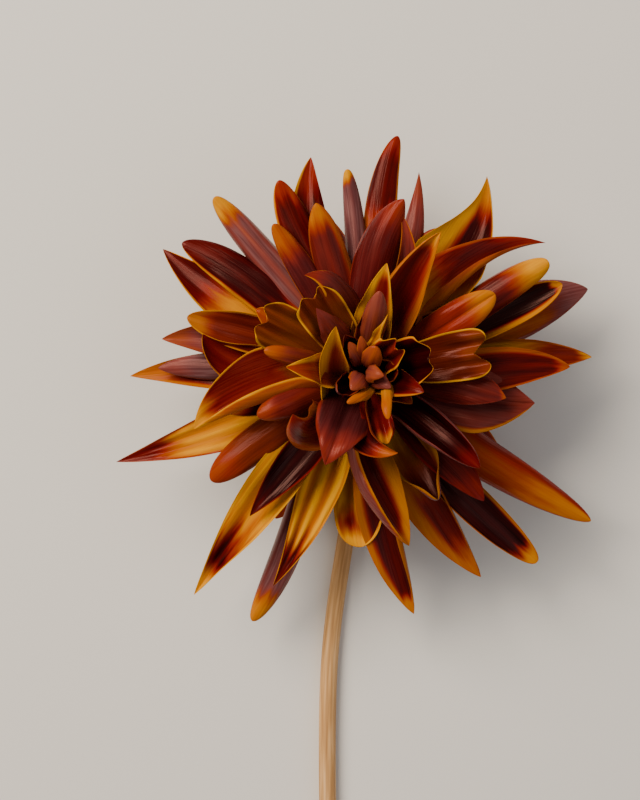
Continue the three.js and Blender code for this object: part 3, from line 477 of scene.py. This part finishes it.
def bladeGrid(rootRing, row, rib, seed, stations, ring):
    # The midline is a cubic curve from root to tip, and the blade's side vector turns evenly
    # from the root's heading to the tip's. Round the midline runs a closed ring at each
    # station. Each half of it starts at the angle of the crease and bends evenly by the
    # fold: x = half (sin(crease + fold v) - sin crease) / fold, and y the same with cosines.
    # The fold goes from the claw's to the cup and then the beak, and the lean adds to it on
    # the left and takes from it on the right. The ruffle is a cosine across the end, and the
    # notch draws the middle of the end back by a bell curve.
    (azimuth, reach, height, width, launch, arrive, swing, turn, roll,
     cup, beak, point, ruffle, crease, lean, belly, notch) = row
    shape = bladeShape
    rootAzimuth = azimuth - swing
    start = heading(rootAzimuth, 0) * rootRing[0] + [0, 0, rootRing[1]]
    end = heading(azimuth, 0) * reach + [0, 0, height]
    pull = np.linalg.norm(end - start) * shape["pull"]
    leave = start + heading(rootAzimuth, launch) * pull
    arriveAt = end - heading(azimuth + turn, arrive) * pull
    t = (1 - (1 - np.linspace(0, 1, stations + 1)) ** shape["crowding"])[:, None]
    middle = ((1 - t) ** 3 * start + 3 * (1 - t) ** 2 * t * leave
              + 3 * (1 - t) * t ** 2 * arriveAt + t ** 3 * end)
    forward = (3 * (1 - t) ** 2 * (leave - start) + 6 * (1 - t) * t * (arriveAt - leave)
               + 3 * t ** 2 * (end - arriveAt))
    forward /= np.linalg.norm(forward, axis=1, keepdims=True)
    sideAzimuth = np.radians(rootAzimuth + (swing + turn) * t + 90)
    up = np.cross(forward, np.concatenate([np.cos(sideAzimuth), np.sin(sideAzimuth), 0 * t], axis=1))
    up /= np.linalg.norm(up, axis=1, keepdims=True)
    across = np.cross(up, forward)
    twist = np.radians(roll) * smooth(t, 0, 1)
    up, across = up * np.cos(twist) + across * np.sin(twist), across * np.cos(twist) - up * np.sin(twist)

    widening = shape["claw"] + (1 - shape["claw"]) * np.sin(np.clip(t / belly, 0, 1) * np.pi / 2)
    toTip = np.clip((t - belly) / (1 - belly), 0, 1)
    shoulders = shape["shoulders"][0] - shape["shoulders"][1] * point
    ending = max(shape["bluntest"], shape["ending"][0] + shape["ending"][1] * point)
    closing = (1 - toTip ** shoulders) ** ending
    half = width / 2 * np.where(t < belly, widening, closing)

    turnRound = np.arange(ring) / ring * 2 * np.pi
    v = np.cos(turnRound)[None, :]
    side = np.sin(turnRound)[None, :]
    left = np.sign(np.where(np.abs(v) < 1e-6, 0, v))
    opened = smooth(t, *shape["opening"])
    fold = (shape["clawCup"] + (cup - shape["clawCup"] + left * lean) * opened
            + (beak - cup) * smooth(t, shape["beakFrom"], 1))
    arc = np.radians(np.where(np.abs(fold) < 1, 1, fold))
    creased = np.radians(crease) * opened
    angle = creased + arc * np.abs(v)
    thick = (shape["thickness"] / 2 * np.minimum(1, half / shape["thinUnder"])
             * np.sign(side) * np.abs(side) ** shape["section"])
    inside = opened * (1 - smooth(t, *shape["reliefEnd"]))
    ribs = rib * inside * np.cos(np.pi * shape["ribs"] * v) * np.minimum(1, half / shape["ribUnder"])
    waves = shape["marginWaves"][0] + shape["marginWaves"][1] * spread(seed, 0.37)
    wave = shape["marginWave"] * inside * np.abs(v) ** 3 * np.sin(
        2 * np.pi * (waves * t + spread(seed, 0.61)) + left * shape["marginShift"])
    lip = (shape["marginLip"] * np.sign(cup) * inside * np.abs(v) ** shape["lipPower"]
           * np.minimum(1, half / shape["lipUnder"]) * (abs(cup) < 90))
    sideways = v * half / (width / 2)
    atEnd = smooth(t, shape["endFrom"], 1)
    frill = ruffle * atEnd * np.cos(shape["ruffleWaves"] * np.pi * sideways + shape["ruffleShift"])
    x = left * (half * (np.sin(angle) - np.sin(creased)) / arc - thick * np.sin(angle))
    y = half * (np.cos(creased) - np.cos(angle)) / arc + thick * np.cos(angle) + ribs + wave + lip + frill
    back = notch * atEnd * np.exp(-(sideways / shape["notchWidth"]) ** 2)
    points = (middle[:, None, :] + x[..., None] * across[:, None, :] + y[..., None] * up[:, None, :]
              - back[..., None] * forward[:, None, :])
    floor = np.where(side > 0, shape["thickness"], shape["lying"])
    points[..., 2] = np.maximum(points[..., 2], floor)
    length = np.concatenate([[0], np.cumsum(np.linalg.norm(np.diff(middle, axis=0), axis=1))])
    uv = np.stack(np.broadcast_arrays(v * half, length[:, None]), axis=-1)
    place = np.stack(np.broadcast_arrays(v, t, np.full_like(t, spread(seed, 0.618))), axis=-1)
    under = np.broadcast_to(side < 0, (stations + 1, ring)).astype(float)
    return points, uv, place, under


def ringFaces(stations, ring):
    # quads between neighbouring rings
    i, j = np.meshgrid(np.arange(stations), np.arange(ring), indexing="ij")
    nextJ = (j + 1) % ring
    quads = np.stack([i * ring + j, i * ring + nextJ, (i + 1) * ring + nextJ, (i + 1) * ring + j], axis=-1)
    return quads.reshape(-1, 4)


def meshPiece(name, blades, material, replaced):
    # joins closed blades in one mesh, with the map and the attributes that the skin reads
    points, uvs, layers, faces = [], [], [], []
    count = 0
    for (grid, uv, place, under), paint in blades:
        stations, ring = grid.shape[0] - 1, grid.shape[1]
        amount = grid.shape[0] * ring
        faces.extend((ringFaces(stations, ring) + count).tolist())
        # one many-sided face closes each end
        faces.append(list(count + np.arange(ring)[::-1]))
        faces.append(list(count + stations * ring + np.arange(ring)))
        points.append(grid.reshape(-1, 3))
        uvs.append(uv.reshape(-1, 2))
        # per vertex: place 3, paint 4, reach of the paint 4, how far it is the reverse, ribs, painted shade
        mauve = np.maximum(under.reshape(-1, 1), paint[8])
        layers.append(np.hstack([place.reshape(-1, 3), np.tile(paint[:8], (amount, 1)), mauve,
                                 np.full((amount, 1), paint[9]), np.full((amount, 1), paint[10])]))
        count += amount
    points = np.concatenate(points) * mm + bloomAxis
    layers = np.concatenate(layers)
    mesh = bpy.data.meshes.new(name)
    mesh.from_pydata(points.tolist(), [], faces)
    vertexOf = np.empty(len(mesh.loops), dtype=np.int32)
    mesh.loops.foreach_get("vertex_index", vertexOf)
    petalMap = mesh.uv_layers.new(name="petalMap")
    petalMap.data.foreach_set("uv", np.concatenate(uvs)[vertexOf].astype(np.float32).ravel())
    for label, kind, field, columns in (
        ("petalPlace", "FLOAT_VECTOR", "vector", layers[:, :3]),
        ("paint", "FLOAT_COLOR", "color", layers[:, 3:7]),
        ("paintReach", "FLOAT_COLOR", "color", layers[:, 7:11]),
        ("underside", "FLOAT", "value", layers[:, 11]),
        ("ribbing", "FLOAT", "value", layers[:, 12]),
        ("paintedShade", "FLOAT", "value", layers[:, 13]),
    ):
        layer = mesh.attributes.new(label, kind, "POINT")
        layer.data.foreach_set(field, np.ascontiguousarray(columns, dtype=np.float32).ravel())
    mesh.polygons.foreach_set("use_smooth", [True] * len(mesh.polygons))
    mesh.materials.append(material)
    mesh.validate()
    piece = bpy.data.objects.new(name, mesh)
    bpy.context.scene.collection.objects.link(piece)
    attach(piece, root)
    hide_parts(replaced)


# Florets placed by rule, behind and between those listed above. Reach and height have their
# least value and what the spread adds at most, cup has the middle's and the tip's, and
# pressed lists the florets that the bloom rests on.
fillWhorls = [
    {"whorl": "back", "count": 11, "first": -70, "step": 31, "reach": (40, 5), "height": (3, 4),
     "width": 12.4, "launch": -9, "arrive": -24, "sway": 10, "cup": (-18, -8), "point": 0.5,
     "pressed": (1, 5, 9)},
    {"whorl": "outer", "count": 8, "first": 14, "step": 45, "reach": (44, 5), "height": (11, 5),
     "width": 12.4, "launch": -1, "arrive": -26, "sway": 10, "cup": (-14, -10), "point": 0.6},
    {"whorl": "third", "count": 2, "first": 30, "step": 120, "reach": (31, 4), "height": (40, 3),
     "width": 11.5, "launch": 30, "arrive": -6, "sway": 16, "cup": (26, 40), "point": 0.6},
    {"whorl": "inner", "count": 2, "first": -35, "step": 120, "reach": (15, 5), "height": (53, 4),
     "width": 8.5, "launch": 66, "arrive": 40, "sway": 20, "cup": (46, 60), "point": 0.6},
]
pressedHeight = -8  # mm: how far down the tips that carry the bloom would reach
fillSteps = {"height": 0.57, "reach": 0.755, "turn": 0.45}  # steps of the even spread of each
fillPaint = (0.35, 0.2, 0.5, 0.7, 0.12, 0, 0.2, 0.35, 0, 0.09, 0)


def fillRows(fill):
    rows = []
    for i in range(fill["count"]):
        height = fill["height"][0] + fill["height"][1] * spread(i, fillSteps["height"])
        rows.append([
            fill["first"] + i * fill["step"],
            fill["reach"][0] + fill["reach"][1] * spread(i, fillSteps["reach"]),
            pressedHeight if i in fill.get("pressed", ()) else height,
            fill["width"], fill["launch"], fill["arrive"], 0,
            fill["sway"] * (spread(i, fillSteps["turn"]) - 0.5), 0,
            *fill["cup"], fill["point"], 0, 0, 0, 0.5, 0,
        ])
    return rows


petalMaterial = livePetalSkin()
seed = 0
for whorl in whorlRoots:
    rows = list(florets.get(whorl, []))
    for fill in fillWhorls:
        if fill["whorl"] == whorl:
            rows += [(row, fillPaint) for row in fillRows(fill)]
    blades = []
    for row, paint in rows:
        seed += 1
        grid = bladeGrid(whorlRoots[whorl], row, paint[9], seed, bladeShape["stations"], bladeShape["ring"])
        blades.append((grid, paint))
    meshPiece(whorl + "Florets", blades, petalMaterial, "bloom")
    print("florets", whorl, len(blades))


# The domed head that the florets grow from. Radii and heights in mm.
receptacle = {"foot": 9.8, "radius": 11.5, "base": 28, "shoulder": 31, "top": 45, "stations": 14}
poleRadius = 0.01  # mm of the tiny ring that closes a lathed piece at its axis
latheSides = 64


def lathePiece(name, profile, paint, material, replaced):
    # every profile point, a radius and a height, is carried round the axis of the bloom
    turn = np.arange(latheSides) / latheSides * 2 * np.pi
    radius, height = np.array(profile, dtype=float).T[..., None]
    grid = np.stack(np.broadcast_arrays(radius * np.cos(turn), radius * np.sin(turn), height), axis=-1)
    rings = len(profile)
    # the map counts 1 a side and 2 a ring, about as many mm
    uv = np.stack(np.meshgrid(np.arange(latheSides) * 1.0, np.arange(rings) * 2.0), axis=-1)
    place = np.zeros(grid.shape)
    place[..., 1] = np.linspace(0, 1, rings)[:, None]
    meshPiece(name, [((grid, uv, place, np.zeros(grid.shape[:2])), paint)], material, replaced)


domePaint = (0, 0.05, 0.05, 0.05, 0.1, 0, 0.1, 0, 0, 0, 0)
domeRise = np.linspace(0, np.pi / 2, receptacle["stations"])
domeHeight = receptacle["top"] - receptacle["shoulder"]
domeProfile = [(poleRadius, receptacle["base"]), (receptacle["foot"], receptacle["base"])] + list(zip(
    receptacle["radius"] * np.cos(domeRise) + poleRadius,
    receptacle["shoulder"] + domeHeight * np.sin(domeRise)))
lathePiece("receptacleDome", domeProfile, domePaint, petalMaterial, "bloom")
print("receptacle")


# A cup with an inner and an outer row of bracts. Lengths in mm, angles in degrees. A row of
# bracts grows from a ring whose radius is its root, so far below the top of the cup.
calyx = {
    "bottom": 18, "gap": 0.3, "neck": 3.1, "flare": 1.2, "flareHeight": 2, "shoulder": 1.4,
    "rimHeight": 3, "lip": 0.4,
    "bracts": {
        "innerBracts": {"count": 8, "root": 7, "below": 1.8, "reach": 17, "height": 20.6, "width": 9,
                        "launch": -14, "arrive": -34},
        "outerBracts": {"count": 6, "root": 5, "below": 5.2, "reach": 17, "height": 13.6, "width": 5.4,
                        "launch": -14, "arrive": -52},
    },
    "cup": (-18, -24), "point": 0.5, "belly": 0.5, "rib": 0.2, "stations": 30, "ring": 28,
    "skin": {
        "perMm": (1.6, 0.08),  # streaks across and along a bract
        "detail": 3.0, "depth": 0.0002, "bump": 0.5, "roughness": 0.55,
        "colours": [(0.3, "#5c6a2a"), (0.5, "#76843a"), (0.7, "#97a052")],
    },
}


def veinedSkin(name, skin):
    # noise drawn out along the piece gives its colour and a relief, whose depth is in metres
    material, tree = newMaterial(name)
    flat = addNode(tree, "ShaderNodeUVMap", uv_map="petalMap")
    scaled = addNode(tree, "ShaderNodeVectorMath", {0: flat.outputs[0], 1: (*skin["perMm"], 1.0)},
                     operation="MULTIPLY")
    veins = noise(tree, scaled.outputs[0], skin["detail"])
    bump = addNode(tree, "ShaderNodeBump", {
        "Height": veins, "Strength": skin["bump"], "Distance": skin["depth"],
    })
    finishMaterial(tree, {
        "Base Color": colourRamp(tree, veins, skin["colours"]), "Roughness": skin["roughness"],
        "IOR": plantIor, "Normal": bump.outputs[0],
    })
    return material


def bractSkin():
    # fleshy green bract: nearly matte, streaked lengthwise with paler green and faintly veined
    return veinedSkin("fleshyBractSkin", calyx["skin"])


plainPaint = (0,) * 11
bractMaterial = bractSkin()
calyxTop = receptacle["base"] - calyx["gap"]
cupProfile = [
    (poleRadius, calyx["bottom"]), (calyx["neck"], calyx["bottom"]),
    (calyx["neck"] + calyx["flare"], calyx["bottom"] + calyx["flareHeight"]),
    (receptacle["foot"] - calyx["shoulder"], calyxTop - calyx["rimHeight"]),
    (receptacle["foot"], calyxTop - calyx["lip"]), (receptacle["foot"] - calyx["lip"], calyxTop),
    (poleRadius, calyxTop),
]
lathePiece("calyxCup", cupProfile, plainPaint, bractMaterial, "calyx")
for label, bract in calyx["bracts"].items():
    blades = []
    for i in range(bract["count"]):
        row = (i * 360 / bract["count"], bract["reach"], bract["height"], bract["width"], bract["launch"],
               bract["arrive"], 0, 0, 0, *calyx["cup"], calyx["point"], 0, 0, 0, calyx["belly"], 0)
        grid = bladeGrid((bract["root"], calyxTop - bract["below"]), row, calyx["rib"], i,
                         calyx["stations"], calyx["ring"])
        blades.append((grid, plainPaint))
    meshPiece(label, blades, bractMaterial, "calyx")
print("calyx")


# The flower stalk: bent below the calyx, then level along its course, to a slanted cut.
# Lengths in mm, the slant in degrees.
stem = {
    "radius": 2.45, "level": 2.4, "bend": 14.5, "bendSteps": 6, "end": -196, "slant": 18,
    "course": [(-1.6, -30), (-5, -49), (-9.2, -80), (-10, -120), (-8.5, -160), (-6, -201)],
    "ribs": 10, "ribHeight": 0.07, "lying": 0.02, "stations": 260, "ring": 48,
    "skin": {
        "perMm": (1.1, 0.05),  # fibres across and along the stalk
        "detail": 4.0, "depth": 0.0002, "bump": 0.5, "roughness": 0.6,
        "colours": [(0.3, "#a87844"), (0.5, "#c49258"), (0.7, "#dcae78")],
    },
}


def centripetal(points, samples):
    # a smooth curve through all points, with knots spaced by the square root of each chord
    p = np.vstack([2 * points[0] - points[1], points, 2 * points[-1] - points[-2]])
    gaps = np.maximum(np.linalg.norm(np.diff(p, axis=0), axis=1) ** 0.5, 1e-6)
    place = np.linspace(0, len(points) - 1, samples)
    k = np.minimum(place.astype(int), len(points) - 2)
    s = (place - k)[:, None]
    d0, d1, d2 = gaps[k][:, None], gaps[k + 1][:, None], gaps[k + 2][:, None]
    a, b, c, d = p[k], p[k + 1], p[k + 2], p[k + 3]
    m1 = ((b - a) / d0 - (c - a) / (d0 + d1) + (c - b) / d1) * d1
    m2 = ((c - b) / d1 - (d - b) / (d1 + d2) + (d - c) / d2) * d1
    return ((2 * s ** 3 - 3 * s ** 2 + 1) * b + (s ** 3 - 2 * s ** 2 + s) * m1
            + (3 * s ** 2 - 2 * s ** 3) * c + (s ** 3 - s ** 2) * m2)


def stemSkin():
    # ripened flower stalk: matte tan skin with long darker and paler fibres
    return veinedSkin("fibrousStalkSkin", stem["skin"])


def stemGrid():
    # a round profile with shallow cosine ribs, carried along the course; the last rings
    # are drawn back to the slanted plane of the cut
    angles = np.linspace(0, np.pi / 2, stem["bendSteps"])
    top = stem["level"] + stem["bend"]
    bend = np.stack([angles * 0, -stem["bend"] * (1 - np.cos(angles)),
                     top - stem["bend"] * np.sin(angles)], axis=1)
    start = [[0, 0, calyx["bottom"] - calyx["gap"]]]
    course = [(x, y, stem["level"]) for x, y in stem["course"]]
    middle = centripetal(np.array(start + bend.tolist() + course), stem["stations"])
    forward = np.gradient(middle, axis=0)
    forward /= np.linalg.norm(forward, axis=1, keepdims=True)
    sideways = np.cross(np.array([1.0, 0, 0]), forward)
    sideways /= np.linalg.norm(sideways, axis=1, keepdims=True)
    other = np.cross(forward, sideways)
    turn = np.arange(stem["ring"]) / stem["ring"] * 2 * np.pi
    radius = stem["radius"] - stem["ribHeight"] * (1 - np.cos(stem["ribs"] * turn)) / 2
    ring = np.cos(turn)[:, None] * other[:, None, :] + np.sin(turn)[:, None] * sideways[:, None, :]
    grid = middle[:, None, :] + ring * radius[:, None]
    cut = stem["end"] + grid[..., 2] * np.tan(np.radians(stem["slant"]))
    grid[..., 1] = np.maximum(grid[..., 1], cut)
    grid[..., 2] = np.maximum(grid[..., 2], stem["lying"])
    length = np.concatenate([[0], np.cumsum(np.linalg.norm(np.diff(middle, axis=0), axis=1))])
    uv = np.stack(np.meshgrid(turn * stem["radius"], length), axis=-1)
    return grid, uv, np.zeros(grid.shape), np.zeros(grid.shape[:2])


meshPiece("stemStalk", [(stemGrid(), plainPaint)], stemSkin(), "stem")
print("stem")


# A pale floor, and soft light as from a window and a white wall. Metres and watts.
stage = {
    "floor": "#e2dfda", "floorSize": 4.0, "floorRoughness": 0.9, "aimHeight": 0.04,
    "air": "#e6e2dc", "airStrength": 0.38,
    "lights": {
        "windowLight": {"offset": (-0.6, 0.5, 0.86), "size": 0.8, "power": 22, "colour": "#fff1de"},
        "fillLight": {"offset": (0.8, -0.3, 0.9), "size": 1.2, "power": 2.5, "colour": "#eef2ff"},
    },
}


def paleFloor():
    # plain matte painted board
    material, tree = newMaterial("matteFloorPaint")
    finishMaterial(tree, {"Base Color": linear(stage["floor"]), "Roughness": stage["floorRoughness"]})
    half = stage["floorSize"] / 2
    mesh = bpy.data.meshes.new("floor")
    corners = [(-half, -half, 0), (half, -half, 0), (half, half, 0), (-half, half, 0)]
    mesh.from_pydata(corners, [], [(0, 1, 2, 3)])
    mesh.materials.append(material)
    floor = bpy.data.objects.new("floor", mesh)
    bpy.context.scene.collection.objects.link(floor)


def aimed(thing, position, target):
    # turns a light or camera at a position so that it looks at the target
    thing.location = position
    thing.rotation_euler = Vector(target - position).to_track_quat("-Z", "Y").to_euler()


def softLight(name, values):
    # a round lamp that looks at the bloom from its offset
    data = bpy.data.lights.new(name, "AREA")
    data.shape = "DISK"
    data.size = values["size"]
    data.energy = values["power"]
    data.color = linear(values["colour"])[:3]
    light = bpy.data.objects.new(name, data)
    bpy.context.scene.collection.objects.link(light)
    centre = bloomAxis + np.array([0, 0, stage["aimHeight"]])
    aimed(light, centre + np.array(values["offset"]), centre)


paleFloor()
for lightName, lightValues in stage["lights"].items():
    softLight(lightName, lightValues)
world = bpy.data.worlds.new("studioAir")
world.use_nodes = True
world.node_tree.nodes["Background"].inputs[0].default_value = linear(stage["air"])
world.node_tree.nodes["Background"].inputs[1].default_value = stage["airStrength"]
bpy.context.scene.world = world

# The camera is straight above the bloom. Lens and sensor in mm, the rest in metres.
view = {"lens": 100, "sensor": 36, "distance": 0.6, "focusHeight": 0.042, "offset": (-0.01215, -0.00756)}
cameraData = bpy.data.cameras.new("camera")
cameraData.lens = view["lens"]
cameraData.sensor_width = view["sensor"]
cameraData.sensor_fit = "VERTICAL"
cameraData.sensor_height = view["sensor"]
camera = bpy.data.objects.new("camera", cameraData)
bpy.context.scene.collection.objects.link(camera)
camera.location = bloomAxis + np.array([*view["offset"], view["focusHeight"] + view["distance"]])
bpy.context.scene.camera = camera
print("stage")
